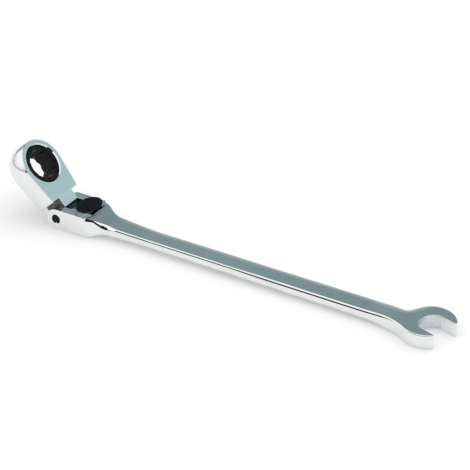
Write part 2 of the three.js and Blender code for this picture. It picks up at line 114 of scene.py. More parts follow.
# Cuts the cutters out of the piece, or joins them to it, for good.
def carve(piece, cutters, operation="DIFFERENCE"):
    for cutter in cutters:
        step = piece.modifiers.new("carve", "BOOLEAN")
        step.operation = operation
        step.solver = "EXACT"
        step.object = cutter
    graph = bpy.context.evaluated_depsgraph_get()
    carved = bpy.data.meshes.new_from_object(piece.evaluated_get(graph))
    piece.modifiers.clear()
    piece.data = carved
    for cutter in cutters:
        bpy.data.objects.remove(cutter)


def smooth(piece, angle=26):
    mesh = piece.data
    mesh.polygons.foreach_set("use_smooth", np.ones(len(mesh.polygons), bool))
    mesh.set_sharp_from_angle(angle=math.radians(angle))
    mesh.update()


# Rows that run round a solid, each joined to the next and the two ends covered
def makeCovered(name, rows, place):
    surface = Surface()
    surface.addGrid(np.stack(rows), closedColumns=True)
    surface.addOutline(rows[0])
    surface.addOutline(rows[-1])
    return surface.make(name, place)


def around(radius, turn, height):
    return np.stack(np.broadcast_arrays(radius * np.cos(turn), radius * np.sin(turn), height), -1)


def lifted(plan, height):
    return np.stack([*plan.T, np.broadcast_to(height, len(plan))], -1)


# A ring shape: (radius, height) pairs carried once round an axis. The place function turns it where it goes.
def revolve(name, profile, place, sides):
    radius, height = np.array(profile, float).T[:, :, None]
    turn = np.linspace(0, 2 * np.pi, sides, endpoint=False)
    surface = Surface()
    surface.addGrid(around(radius, turn, height), closedColumns=True)
    return surface.make(name, place)


def block(name, low, high, place):
    (x0, y0, z0), (x1, y1, z1) = low, high
    lower = np.array([[x0, y0, z0], [x1, y0, z0], [x1, y1, z0], [x0, y1, z0]], float)
    return makeCovered(name, [lower, lower + [0, 0, z1 - z0]], place)


def bezier(p0, p1, p2, p3, count):
    t = np.linspace(0, 1, count)[:, None]
    p0, p1, p2, p3 = (np.array(p, float) for p in (p0, p1, p2, p3))
    return (1 - t) ** 3 * p0 + 3 * (1 - t) ** 2 * t * p1 + 3 * (1 - t) * t**2 * p2 + t**3 * p3


def arc(centre, radius, start, end, count):
    turn = np.linspace(start, end, count)
    return np.asarray(centre) + radius * np.stack([np.cos(turn), np.sin(turn)], -1)


# Unit vectors to the left of a line of points, stretched at a corner so that an offset keeps its width.
def leftOf(line, closed=False):
    if closed:
        line = np.vstack([line[-1:], line, line[:1]])
    step = np.diff(line, axis=0)
    if not closed:
        step = np.vstack([step[:1], step, step[-1:]])
    step /= np.linalg.norm(step, axis=1, keepdims=True)
    left = (step[:-1] + step[1:])[:, ::-1] * [-1, 1]
    length = np.linalg.norm(left, axis=1, keepdims=True)
    return left / length * (2 / np.maximum(length, 1.0))


handleSizes = {
    "yokeHalf": 9.4,
    "yokeTop": 9.6,
    "yokeEnd": 14.2,
    "waistMiddle": 25.5,
    "waistMiddleTop": 6.65,
    "waistMiddleHalf": 6.1,
    "waistEnd": 48.0,
    "waistEase": 5.4,
    "tailSteepness": 1.3,
    "shankTop": 5.84,
    "shankBottomAtYoke": 1.8,
    "shankBottomAtJaw": 1.2,
    "shankHalfAtYoke": 5.27,
    "shankHalfAtJaw": 5.75,
    "jawTop": 6.6,
    "jawCentre": 186.0,
    "jawRadius": 12.3,
    "jawSetBack": 1.6,
    "jawTurn": math.radians(15),
    "jawReach": 8.1,
    "jawTipRound": 1.0,
    "jawCornerRound": 0.45,
    "flatHalf": 6.5,
    "throatRadius": 6.8,
    "throatDepth": 5.0,
    "neckLength": 20.0,
    "frontTouch": math.radians(-125),
    "backTouch": math.radians(150),
    "frontFlare": 5.0,
    "backFlare": 1.6,
    "backWaistHalf": 4.6,
    "backWaistX": 171.0,
    "backWaistSlope": 0.06,
    "backWaistLength": 19.0,
    "slotHalf": 5.1,
    "slotBottom": 5.55,
    "slotCorner": 0.35,
    "channelEnd": 16.55,
    "channelFloor": 1.6,
    "channelShelf": 6.2,
    "channelNeck": 4.4,
    "pinHole": 2.2,
    "slotEdge": 0.2,
    "support": 0.12,  # a narrow flat strip beside each rounded edge
    "crownRadius": 12.0,
    "profileEnd": 260.0,  # past the jaw's tips
}
yokeMiddle = handleSizes["yokeTop"] / 2  # height of the pivot pin

# Rounding of the outer edges along the handle: x, upper radius in front and at the back, lower radius,
# degrees that the upper face tilts over the broad crown beside the back edge, and degrees where the upper
# round in front starts, which leaves a crisp edge where the waist begins
edgeRounding = [
    (-4.8, 0.18, 0.18, 0.18, 0, 0),
    (0.0, 0.18, 0.18, 0.3, 0, 0),
    (14.3, 0.18, 0.18, 0.4, 0, 0),
    (15.2, 0.18, 1.9, 0.7, 2, 0),
    (15.8, 3.9, 2.0, 0.8, 3, 54),
    (18.5, 4.0, 2.0, 1.0, 6, 52),
    (24.0, 2.9, 1.5, 1.2, 13, 26),
    (29.5, 1.1, 1.1, 1.3, 17, 0),
    (90.0, 1.05, 1.05, 1.4, 17, 0),
    (105.0, 1.45, 1.2, 1.4, 17, 0),
    (165.0, 1.45, 1.2, 1.3, 17, 0),
    (170.0, 0.9, 0.9, 1.1, 20, 0),
    (175.0, 0.4, 0.4, 0.8, 21, 0),
    (179.0, 0.5, 0.3, 0.6, 12, 0),
    (184.0, 0.6, 0.3, 0.6, 0, 0),
    (200.0, 0.6, 0.3, 0.5, 0, 0),
]


# The waist falls from the yoke in a short S and runs out in a long shallow tail.
def waistLine(atYoke, atMiddle, atShank):
    s = handleSizes
    start, middle, end, ease = s["yokeEnd"], s["waistMiddle"], s["waistEnd"], s["waistEase"]
    slope = s["tailSteepness"] * (atMiddle - atShank) / (end - middle)
    reach = (end - middle) / 3
    before, after = (middle - ease, atMiddle + slope * ease), (middle + reach, atMiddle - slope * reach)
    fall = bezier((start, atYoke), (start + ease, atYoke), before, (middle, atMiddle), 160)
    tail = bezier((middle, atMiddle), after, (end - reach, atShank), (end, atShank), 80)
    return np.vstack([fall, tail[1:]])


def handleProfile():
    s = handleSizes
    neckEnd = s["jawCentre"] - s["jawRadius"]
    neckStart = neckEnd - s["neckLength"]
    half = s["neckLength"] / 2

    def line(atYoke, atMiddle, atShank, atNeck, atJaw):
        neck = bezier(
            (neckStart, atNeck), (neckStart + half, atNeck), (neckEnd - half, atJaw), (neckEnd, atJaw), 200
        )
        waist = waistLine(atYoke, atMiddle, atShank)
        return np.vstack([[(0, atYoke)], waist, neck, [(s["profileEnd"], atJaw)]])

    top = line(s["yokeTop"], s["waistMiddleTop"], s["shankTop"], s["shankTop"], s["jawTop"])
    bottom = line(0, s["shankBottomAtYoke"], s["shankBottomAtYoke"], s["shankBottomAtJaw"], 0)
    return top, bottom


# Height and outward direction of the upper (side 1) or lower (side -1) surface at x. Left of the pin
# both follow the round of the yoke's end, a circle about the pin.
def surfaceAt(x, side, lines):
    along, heights = (lines[0] if side > 0 else lines[1]).T
    step = 0.2
    height = np.interp(x, along, heights)
    slope = (np.interp(x + step, along, heights) - np.interp(x - step, along, heights)) / (2 * step)
    outX, outZ = -slope * side, np.full_like(slope, side)
    onRound = x < 0
    reach = np.sqrt(np.maximum(yokeMiddle**2 - np.minimum(x, 0) ** 2, 0))
    height = np.where(onRound, yokeMiddle + side * reach, height)
    outX = np.where(onRound, x / yokeMiddle, outX)
    outZ = np.where(onRound, side * reach / yokeMiddle, outZ)
    length = np.hypot(outX, outZ)
    return height, outX / length, outZ / length


# The side of a solid carried along its outline: a broad round that tilts the upper surface a little, a
# small round down to the wall, which may start part of the way round, the wall, and a small round to the
# lower surface. The first and last rows lie on those surfaces.
def roundedSide(outline, inward, upper, lower, tilt, start, lines):
    broad = handleSizes["crownRadius"]
    strip = handleSizes["support"]
    halves = []
    for side, radius, lean, skip in ((1, upper, tilt, start), (-1, lower, 0 * tilt, 0 * start)):
        onBroad = [lean * share for share in np.linspace(0, 1, 7)]
        begin = lean + skip
        onSmall = [begin + (np.pi / 2 - begin) * share for share in np.linspace(0, 1, 10)[1:]]
        reach = radius * (1 - np.sin(begin)) + broad * np.sin(lean)
        rows = [(reach + strip, 0 * reach)]
        rows += [(reach - broad * np.sin(turn), broad * (1 - np.cos(turn))) for turn in onBroad]
        step = broad * (1 - np.cos(lean)) + radius * np.cos(begin)
        rows += [(radius * (1 - np.sin(turn)), step - radius * np.cos(turn)) for turn in onSmall]
        placed = []
        for into, down in rows:
            plan = outline + inward * into[:, None]
            height, outX, outZ = surfaceAt(plan[:, 0], side, lines)
            placed.append(np.stack([plan[:, 0] - outX * down, plan[:, 1], height - outZ * down], -1))
        halves.append(placed)
    top, bottom = halves
    gap = top[-1] - bottom[-1]
    share = np.minimum(strip / np.maximum(np.linalg.norm(gap, axis=1), 1e-6), 0.25)[:, None]
    wall = [top[-1] - gap * share, bottom[-1] + gap * share]
    return np.stack(top + wall + bottom[::-1])


def jawPoint(along, across):
    s = handleSizes
    cos, sin = math.cos(s["jawTurn"]), math.sin(s["jawTurn"])
    return np.array([s["jawCentre"] + along * cos + across * sin, across * cos - along * sin])


# Plan of the open end from the front of the neck round to its back, anticlockwise seen from above
def jawOutline(frontNeck, backNeck, startX):
    s = handleSizes
    turn = s["jawTurn"]
    circle = jawPoint(-s["jawSetBack"], 0)
    corner, tip = s["jawCornerRound"], s["jawTipRound"]
    tipAlong = s["jawReach"] - tip
    reach = tipAlong + s["jawSetBack"]
    tipAcross = math.sqrt((s["jawRadius"] - tip) ** 2 - reach**2)
    tipTurn = math.atan2(tipAcross, reach)
    throatAlong = s["throatRadius"] - s["throatDepth"]
    throatStart = math.sqrt(s["throatRadius"] ** 2 - s["flatHalf"] ** 2)
    throatTurn = math.atan2(s["flatHalf"], -throatStart)
    mouth, inner = s["jawReach"] - corner, s["flatHalf"] + corner
    onFlat = (5.5, 3.0, 1.2)
    past = startX + 0.2
    parts = [
        frontNeck[frontNeck[:, 0] > past],
        arc(circle, s["jawRadius"], s["frontTouch"], -tipTurn - turn, 34)[1:],
        arc(jawPoint(tipAlong, -tipAcross), tip, -tipTurn - turn, -turn, 8)[1:],
        arc(jawPoint(mouth, -inner), corner, -turn, -turn + np.pi / 2, 7),
        np.array([jawPoint(along, -s["flatHalf"]) for along in onFlat]),
        arc(jawPoint(throatAlong, 0), s["throatRadius"], 2 * np.pi - throatTurn - turn, throatTurn - turn, 44),
        np.array([jawPoint(along, s["flatHalf"]) for along in onFlat[::-1]]),
        arc(jawPoint(mouth, inner), corner, -turn - np.pi / 2, -turn, 7),
        arc(jawPoint(tipAlong, tipAcross), tip, -turn, tipTurn - turn, 8)[:-1],
        arc(circle, s["jawRadius"], tipTurn - turn, s["backTouch"], 56)[:-1],
        backNeck[backNeck[:, 0] > past][::-1],
    ]
    kinds = [0, 0, 1, 1, 2, 2, 2, 1, 1, 0, 0]  # 0 outside, 1 tip, 2 inside the opening
    outline = np.vstack(parts)
    kind = np.concatenate([np.full(len(part), k) for part, k in zip(parts, kinds)])
    return outline, kind


def handlePlan():
    s = handleSizes

    # A point on the tangent where a neck meets the jaw's circle, and the meeting point
    def jawTouch(turn, flare):
        meet = jawPoint(-s["jawSetBack"], 0) + s["jawRadius"] * np.array([math.cos(turn), math.sin(turn)])
        return meet + flare * np.array([-math.sin(turn), math.cos(turn)]), meet

    waist = waistLine(s["yokeHalf"], s["waistMiddleHalf"], s["shankHalfAtYoke"])
    neckStart = s["jawCentre"] - s["jawRadius"] - s["neckLength"] / 2
    quarter = s["neckLength"] / 4
    shank = s["shankHalfAtJaw"]
    frontNeck = bezier(
        (neckStart - quarter, -shank), (neckStart, -shank), *jawTouch(s["frontTouch"], -s["frontFlare"]), 120
    )
    x, half, slope, length = s["backWaistX"], s["backWaistHalf"], s["backWaistSlope"], s["backWaistLength"]
    hollow = bezier((x, half), (x + 1, half - slope), *jawTouch(s["backTouch"], s["backFlare"]), 60)
    beforeWaist = (x - length / 4, half + slope * length / 4)
    taper = bezier((x - length, shank), (x - length / 2, shank), beforeWaist, (x, half), 120)
    backNeck = np.vstack([taper, hollow[1:]])
    start = [(-s["yokeTop"], s["yokeHalf"])]
    front = np.vstack([start, waist, frontNeck * [1, -1]])
    back = np.vstack([start, waist, backNeck])
    return front, back, frontNeck, backNeck


# Lays a shape made about an upright axis along the pivot pin.
def acrossPin(points):
    return handlePlace(points[:, [0, 2, 1]] + [0, 0, yokeMiddle])


def makeHandle():
    s = handleSizes
    lines = handleProfile()
    front, back, frontNeck, backNeck = handlePlan()
    neckEnd = s["jawCentre"] - s["jawRadius"]
    neckStart = neckEnd - s["neckLength"]
    ear = -yokeMiddle * np.cos(np.linspace(0, np.pi / 2, 16))
    ear[-1] = 0.0
    stations = np.concatenate([
        ear,
        np.linspace(2.0, s["yokeEnd"], 7),
        s["yokeEnd"] + (s["waistEnd"] - s["yokeEnd"]) * np.linspace(0, 1, 90)[1:] ** 1.4,
        np.linspace(s["waistEnd"], neckStart, 70)[1:],
        np.linspace(neckStart, neckEnd, 48)[1:],
    ])
    frontSide = np.stack([stations, -np.interp(stations, *front.T)], -1)
    backSide = np.stack([stations, np.interp(stations, *back.T)], -1)
    jaw, kind = jawOutline(frontNeck, backNeck, neckEnd)
    outline = np.vstack([frontSide, jaw, backSide[::-1]])
    table = np.array(edgeRounding)
    upperFront, upperBack, lower, tilt, start = (
        np.interp(outline[:, 0], table[:, 0], column) for column in table.T[1:]
    )
    inFront = outline[:, 1] < 0
    upper = np.where(inFront, upperFront, upperBack)
    tilt = np.where(inFront, 0.0, np.radians(tilt))
    start = np.where(inFront, np.radians(start), 0.0)
    # The opening and its tips take no more rounding than this, eased in over a few points.
    free, atTip, atOpening = 9.0, 0.55, 0.28
    shankLimit = np.full(len(stations), free)
    limit = np.concatenate([shankLimit, np.choose(kind, [free, atTip, atOpening]), shankLimit])
    limit = np.convolve(np.pad(limit, 3, mode="edge"), np.ones(7) / 7, mode="valid")
    upper, lower = np.minimum(upper, limit), np.minimum(lower, limit)
    outer = roundedSide(outline, leftOf(outline), upper, lower, tilt, start, lines)

    slot = s["slotHalf"]
    corner = s["slotCorner"]
    deep = s["slotBottom"] - corner
    slotStations = np.append(ear, [2.0, 3.6, 4.6])
    upSide = np.stack([slotStations, np.full(len(slotStations), slot)], -1)
    slotLine = np.vstack([
        upSide,
        arc((deep, slot - corner), corner, np.pi / 2, 0, 6),
        [[s["slotBottom"], across] for across in (2.5, 0.0, -2.5)],
        arc((deep, corner - slot), corner, 0, -np.pi / 2, 6),
        upSide[::-1] * [1, -1],
    ])
    edge = np.full(len(slotLine), s["slotEdge"])
    inner = roundedSide(slotLine, leftOf(slotLine), edge, edge, 0 * edge, 0 * edge, lines)

    surface = Surface()
    surface.addGrid(outer)
    surface.addGrid(inner)
    ears = len(ear)
    count = len(stations)
    first = list(stations).index(s["yokeEnd"])
    across = np.array([0.0, 0.04, 0.25, 0.5, 0.75, 0.96, 1.0])[:, None]

    # Straight rules between two edges, one for each station
    def rule(a, b):
        return a[:, None, :] + (b - a)[:, None, :] * across

    for row in (0, -1):
        frontEdge = outer[row][:count]
        backEdge = outer[row][::-1][:count]
        slotBack = inner[row][:ears]
        slotFront = inner[row][::-1][:ears]
        frontEar = rule(frontEdge[:ears], slotFront)
        backEar = rule(slotBack, backEdge[:ears])
        shank = rule(frontEdge[first:], backEdge[first:])
        surface.addGrid(frontEar)
        surface.addGrid(backEar)
        surface.addGrid(shank)
        surface.addOutline(np.vstack([
            frontEdge[ears - 1:first], shank[0], backEdge[ears - 1:first][::-1],
            backEar[-1][::-1][1:], inner[row][ears:-ears], frontEar[-1][::-1][:-1],
        ]))
        surface.addOutline(np.vstack([outer[row][count:-count], shank[-1][::-1]]))
    handle = surface.make("handle", handlePlace)

    start, base, neck = s["slotBottom"] - 0.5, s["slotHalf"] - 0.02, s["channelNeck"]
    hole, chamfer, past = s["pinHole"], 0.1, s["yokeHalf"] + 1
    end, floor, above = s["channelEnd"], s["channelFloor"], 2 * s["yokeTop"]
    half = [(hole, s["yokeHalf"] - chamfer), (hole + 1 + chamfer, past), (0, past)]
    cutters = [
        block("channelBase", (start, -base, floor), (end, base, s["channelShelf"]), handlePlace),
        block("channelNeck", (start, -neck, floor + 1), (end, neck, above), handlePlace),
        revolve("pinHole", [(radius, -across) for radius, across in half[::-1]] + half, acrossPin, 64),
    ]
    carve(handle, cutters)
    smooth(handle)
    return handle


handle = makeHandle()
print("handle made:", len(handle.data.polygons), "faces")

pinSizes = {"radius": 2.15, "half": 9.25, "edge": 0.15, "dish": 0.06, "notch": (0.55, 0.65, 0.35)}


def makePin():
    s = pinSizes
    r, h, e = s["radius"], s["half"], s["edge"]
    turn = np.linspace(0, np.pi / 2, 5)
    cap = [(0, h - s["dish"]), (r * 0.45, h - s["dish"]), (r * 0.62, h - 0.02), (r - e - 0.1, h)]
    cap += [(r - e + e * math.sin(a), h - e + e * math.cos(a)) for a in turn]
    cap.append((r, h - e - 0.1))
    profile = [(a, -b) for a, b in cap] + cap[::-1]
    pin = revolve("pivotPin", profile, acrossPin, 64)
    wide, tall, deep = s["notch"]
    rim = yokeMiddle - r
    carve(pin, [block("notch", (-wide, -h - 1, rim - 1), (wide, deep - h, rim + tall), handlePlace)])
    smooth(pin)
    return pin


pin = makePin()

headSizes = {
    "thick": 9.9,
    "drive": 23.7,
    "radius": 11.6,
    "crown": 0.58,
    "shoulder": 6.6,
    "shoulderHalf": 9.5,
    "shoulderRound": 0.6,
    "edge": 0.3,
    "shoulderEdge": 0.7,
    "tongueHalf": 4.9,
    "tongueRadius": 4.7,
    "tongueStep": 2.1,
    "toothPitch": math.radians(47 / 3),
    "grooves": 15,
    "grooveDepth": 0.6,
    "grooveBottom": 0.7,
    "grooveMouth": 1.05,
    "bore": 10.55,
    "mouth": 9.1,
    "mouthEdge": 0.45,
    "boreTop": 3.4,
    "ringLow": -3.36,
    "ringHigh": -2.42,
    "ringBite": 0.5,
    "pocketHalf": 4.4,
    "pocketBack": 9.2,
    "pocketLow": -2.3,
    "plungerBore": 1.25,
    "plungerHeight": 0.45,
    "springSeat": 5.4,
}


# The head's side is a shallow bulge between two small rounds, carried round the outline of its face.
def makeHousing():
    s = headSizes
    half = s["thick"] / 2
    reach = s["drive"] - s["shoulder"]
    far = math.hypot(reach, s["shoulderHalf"])
    corner = math.atan2(s["shoulderHalf"], reach)
    touch = math.pi - corner - math.acos(s["radius"] / far)
    ring = arc((s["drive"], 0), s["radius"], -touch, touch, 181)
    small = s["shoulderRound"]
    # The straight side runs from the ring to the shoulder, and an arc rounds the shoulder's corner.
    end = np.array([s["shoulder"], s["shoulderHalf"]])
    slope = (end - ring[-1]) / np.linalg.norm(end - ring[-1])
    centre = end + np.array([small, -small * (1 + slope[1]) / abs(slope[0])])
    backCorner = arc(centre, small, math.atan2(-slope[0], slope[1]), np.pi, 10)
    side = ring[-1] + (backCorner[0] - ring[-1]) * np.linspace(0, 1, 12)[1:-1, None]
    shoulderLine = np.array([[s["shoulder"], across] for across in (6.5, 3.0, 0.0)])
    upperHalf = np.vstack([ring[len(ring) // 2:], side, backCorner, shoulderLine])
    lowerHalf = (upperHalf * [1, -1])[::-1][1:-1]
    outline = np.vstack([upperHalf, lowerHalf])
    inward = leftOf(outline, closed=True)
    beyond = (outline[:, 0] - s["shoulder"]) / small
    crown = s["crown"] * np.clip(beyond, 0, 1)
    edge = s["edge"] + (s["shoulderEdge"] - s["edge"]) * (1 - np.clip(beyond / 2, 0, 1))
    fullEdge = half - edge
    lean = np.arctan(2 * crown / fullEdge)
    rows = []
    for share, inset in [(0.0, 0.12)] + [(t, 0.0) for t in np.linspace(0, 1, 6)]:
        angle = (np.pi / 2 - lean) * share
        into = edge * (1 - np.sin(angle)) + inset
        rows.append((into, half - edge * (1 - np.cos(angle))))
    last, height = rows[-1]
    for share in np.linspace(0.93, 0, 14):
        bulge = crown * (1 - share**2)
        rows.append((last - bulge, height * share))
    upper = [lifted(outline + inward * into[:, None], height) for into, height in rows]
    lower = [row * [1, 1, -1] for row in upper[-2::-1]]
    housing = makeCovered("headHousing", upper + lower, headPlace)
    carve(housing, [makeTongue()], "UNION")

    def aboutDrive(points):
        return headPlace(points + [s["drive"], 0, 0])

    bore, mouth, bite = s["bore"], s["mouth"], s["bore"] + s["ringBite"]
    chamfer, past = 0.2, half + 1
    profile = [
        (0, -past), (bore + 1 + chamfer, -past), (bore, chamfer - half),
        (bore, s["ringLow"]), (bite, s["ringLow"]), (bite, s["ringHigh"]), (bore, s["ringHigh"]),
        (bore, s["boreTop"]), (mouth, s["boreTop"]), (mouth, half - s["mouthEdge"]),
        (mouth + 1 + s["mouthEdge"], past), (0, past),
    ]
    thin, seat = s["plungerBore"], s["springSeat"]
    cutters = [
        revolve("bore", profile, aboutDrive, 144),
        block(
            "pocket", (s["pocketBack"], -s["pocketHalf"], s["pocketLow"]),
            (s["drive"], s["pocketHalf"], s["boreTop"] - 0.01), headPlace,
        ),
        revolve(
            "plungerBore",
            [(0, seat), (thin, seat), (thin, s["drive"]), (0, s["drive"])],
            lambda p: headPlace(p[:, [2, 0, 1]] + [0, 0, s["plungerHeight"]]), 32,
        ),
    ]
    carve(housing, cutters)
    smooth(housing)
    return housing


# The tongue's section, a disc with grooves round its end and a block behind, carried across the head.
def makeTongue():
    s = headSizes
    half = s["thick"] / 2 - 0.004  # just under the head's face, so that the two join cleanly
    radius, depth = s["tongueRadius"], s["grooveDepth"]
    start = math.acos(s["tongueStep"] / radius)
    points = [(9.0, -half), (9.0, half), (s["tongueStep"], half)]

    def alongRound(*turns, inner=0.0):
        points.extend(((radius - inner) * math.cos(turn), (radius - inner) * math.sin(turn)) for turn in turns)

    # The first and last grooves take nearly all the round beyond them, so only its corner is kept there.
    middles = math.pi + (np.arange(s["grooves"]) - (s["grooves"] - 1) / 2) * s["toothPitch"]
    wide, narrow = s["grooveMouth"] / 2 / radius, s["grooveBottom"] / 2 / (radius - depth)
    alongRound(start)
    for index, middle in enumerate(middles):
        if index:
            alongRound(*np.linspace(middles[index - 1] + wide, middle - wide, 4))
        alongRound(middle - narrow, middle + narrow, inner=depth)
    alongRound(2 * math.pi - start)
    points.append((s["tongueStep"], -half))
    line = np.array(points)
    inward = leftOf(line, closed=True)
    inward /= np.maximum(np.linalg.norm(inward, axis=1, keepdims=True), 1)
    side = s["tongueHalf"]
    rows = []
    for into, across in ((0.05, -side), (0.0, -side + 0.05), (0.0, side - 0.05), (0.05, side)):
        plan = line + inward * into
        rows.append(lifted(plan, across)[:, [0, 2, 1]])
    tongue = makeCovered("tongue", rows, headPlace)
    bore = revolve("pinBore", [(0, -6), (2.2, -6), (2.2, 6), (0, 6)], lambda p: headPlace(p[:, [0, 2, 1]]), 64)
    carve(tongue, [bore])
    return tongue


housing = makeHousing()
print("head made:", len(housing.data.polygons), "faces")

gearSizes = {
    "across": 13.0,
    "corner": 7.3,
    "teeth": 72,
    "tip": 10.35,
    "depth": 0.5,
    "collar": 8.9,
    "face": 4.8,
    "leadRadius": 7.15,
    "bandTop": 3.2,
    "bandBottom": -2.3,
    "edge": 0.15,
    "small": 0.1,  # chamfers of the band, and strips beside the edges
    "lip": 0.03,
    "samples": 720,
}


# Radius and height of the gear as functions of the turn about its axis and the way round its section:
# up the outside, over the toothed band and collar, across the rim, down the lead-in and the drive.
def makeGear():
    s = gearSizes
    turn = np.arange(s["samples"]) * 2 * np.pi / s["samples"]
    outer, face, collar = s["corner"], s["face"], s["collar"]
    edge, small, lip = s["edge"], s["small"], s["lip"]
    toFlat = np.abs((turn % (np.pi / 6)) - np.pi / 12)
    inner = s["across"] / 2 / np.cos(np.pi / 6 - (np.pi / 12 - toFlat))
    drive = np.minimum(inner, outer)
    share = np.abs(((turn * s["teeth"] / (2 * np.pi)) + 0.5) % 1 - 0.5)
    tooth = s["tip"] - s["depth"] * np.clip((share - 0.1) / 0.3, 0, 1)
    rows = []
    for side, entry in ((-1, drive), (1, np.maximum(drive, s["leadRadius"]))):
        lead = entry - drive
        half = [
            (collar, edge + small), (collar, edge), (collar - edge * 0.3, edge * 0.3), (collar - edge, 0),
            (collar - edge - small, 0), (outer + 0.2, 0), (outer + 0.08, 0), (entry + lip, 0),
        ]
        half += [(entry - lead * step, lip + (lead + small) * step) for step in (0.0, 0.1, 0.5, 0.9, 1.0)]
        half.append((drive, lip + lead + 2 * small))
        rows.append([(radius, side * (face - down)) for radius, down in half])
    low, high, root = s["bandBottom"], s["bandTop"], tooth - small
    band = [(root, low), (tooth, low + small), (tooth, high - small), (root, high)]
    section = rows[0][::-1] + [(collar, low)] + band + [(collar, high)] + rows[1]
    grid = np.stack([around(radius, turn, height) for radius, height in section])
    surface = Surface()
    surface.addGrid(grid, closedRows=True, closedColumns=True)
    gear = surface.make("ratchetGear", lambda points: headPlace(points + [headSizes["drive"], 0, 0]))
    smooth(gear, 22)
    return gear


gear = makeGear()
print("gear made:", len(gear.data.polygons), "faces")

buttonSizes = {
    "halfLength": 5.2,
    "halfWidth": 7.45,
    "centre": 11.85,
    "frontCut": 0.5,
    "bottom": 9.75,
    "height": 1.8,
    "edge": 0.3,
    "rim": 0.7,
    "foot": 0.72,
    "ridges": 7,
    "ridgePitch": 1.35,
    "ridgeHeight": 0.2,
    "bow": 0.9,  # how far the ridges bow towards the handle at their ends
}


# An ellipse with one side cut straight, carried in to its middle. The height rises over a small round at
# the rim and then carries bowed ridges, each a smooth wave across the button.
def makeButton():
    s = buttonSizes
    turn = np.linspace(0, 2 * np.pi, 240, endpoint=False)
    front = s["frontCut"] - s["halfLength"]
    outline = np.stack([s["halfLength"] * np.cos(turn), s["halfWidth"] * np.sin(turn)], -1)
    outline[:, 0] = np.maximum(outline[:, 0], front)
    inward = -outline / np.linalg.norm(outline, axis=1, keepdims=True)
    edge, top, bottom = s["edge"], s["bottom"] + s["height"], s["bottom"]
    rows = []

    def row(plan, height):
        rows.append(lifted(plan + [s["centre"], 0], height))

    foot, low = s["foot"], top - s["rim"]
    underside = [(0, 0), (foot - 0.02, 0), (foot, 0.05), (foot + 0.03, 0.4), (foot + 0.1, low - 0.15 - bottom)]
    for share, up in underside:
        row(outline * share, bottom + up)
    row(outline + inward * 0.15, low)
    row(outline, low + 0.12)
    row(outline, top - edge - 0.05)
    for angle in np.linspace(0, np.pi / 2, 6):
        row(outline + inward * edge * (1 - math.cos(angle)), top - edge + edge * math.sin(angle))
    inside = outline + inward * edge
    for share in np.linspace(0.985, 0, 64):
        plan = inside * share
        x, y = plan.T
        bowed = x + s["bow"] * (y / s["halfWidth"]) ** 2 + 0.12 * np.sin(y * 1.1)
        phase = bowed / s["ridgePitch"]
        room = np.clip((0.93 - share) / 0.1, 0, 1)
        span = np.clip((s["ridges"] / 2 - np.abs(phase)) * 2, 0, 1)
        wave = np.clip(0.5 + 0.75 * np.cos(2 * np.pi * phase), 0, 1)
        row(plan, top - 0.12 * (1 - share**2) + s["ridgeHeight"] * wave * room * span)
    surface = Surface()
    surface.addGrid(np.stack(rows), closedColumns=True)
    button = surface.make("lockButton", handlePlace)
    smooth(button, 40)
    return button


button = makeButton()
print("button made:", len(button.data.polygons), "faces")


springSizes = {
    "lock_spring": {
        "name": "lockSpring", "along": (1.0, 0.0, 0.0), "wire": 0.4, "turns": 6, "travel": 2.0, "fixedEnd": 1,
    },
    "pawl_spring": {
        "name": "pawlSpring", "along": headAlong, "wire": 0.28, "turns": 4, "travel": 0.65, "fixedEnd": 0,
    },
}


# Round wire carried along a helix: the first and last turns lie closed and the turns between share the rest
# of the length. Its reach and radius are those of the node that it stands for.
def makeSpring(node, s):
    points = np.array([vertex.co for vertex in frame["nodes"][node].data.vertices]) / mm
    along, across = np.array(s["along"]), np.array([0.0, 1.0, 0.0])
    up = np.cross(along, across)
    spans = points @ np.stack([along, across, up], -1)
    low, high = spans.min(axis=0), spans.max(axis=0)
    middle = (low + high) / 2
    wire, turns = s["wire"], s["turns"]
    length = high[0] - low[0]
    t = np.linspace(0, turns, turns * 24 + 1)
    closed = np.minimum(t, 1) + np.maximum(t - (turns - 1), 0)
    opened = np.clip(t - 1, 0, turns - 2)
    endPitch = wire * 1.02
    advance = endPitch * closed + opened * (length - wire - 2 * endPitch) / (turns - 2)
    turn = 2 * np.pi * t[:, None]
    radial = np.cos(turn) * across + np.sin(turn) * up
    axisAt = middle[1] * across + middle[2] * up
    centre = (low[0] + wire / 2 + advance)[:, None] * along + axisAt
    centre = centre + radial * ((high[1] - low[1]) / 2 - wire / 2)
    around = np.linspace(0, 2 * np.pi, 12, endpoint=False)
    ring = np.cos(around)[None, :, None] * radial[:, None, :] + np.sin(around)[None, :, None] * along
    grid = centre[:, None, :] + ring * wire / 2
    spring = makeCovered(s["name"], grid, lambda points: points * mm)
    smooth(spring, 60)
    anchor = (low[0] + length * s["fixedEnd"]) * along + axisAt
    return spring, anchor * mm, 1 - s["travel"] / length


springs = {node: makeSpring(node, s) for node, s in springSizes.items()}
print("springs made:", len(springs))


# Sets inputs by name or number. One that is given a socket is linked.
def feed(tree, node, inputs):
    for name, value in inputs.items():
        if isinstance(value, bpy.types.NodeSocket):
            tree.links.new(value, node.inputs[name])
        else:
            node.inputs[name].default_value = value
    return node


def addNode(tree, kind, inputs, **settings):
    node = tree.nodes.new(kind)
    for name, value in settings.items():
        setattr(node, name, value)
    return feed(tree, node, inputs)


def compute(tree, operation, a, b):
    return addNode(tree, "ShaderNodeMath", {0: a, 1: b}, operation=operation).outputs[0]


def product(tree, a, b):
    return compute(tree, "MULTIPLY", a, b)


# Carries the range from low to high over to the range from start to end, and holds it beyond.
def ramp(tree, value, low, high, kind="SMOOTHSTEP", start=0.0, end=1.0):
    inputs = {"Value": value, "From Min": low, "From Max": high, "To Min": start, "To Max": end}
    return addNode(tree, "ShaderNodeMapRange", inputs, interpolation_type=kind).outputs[0]


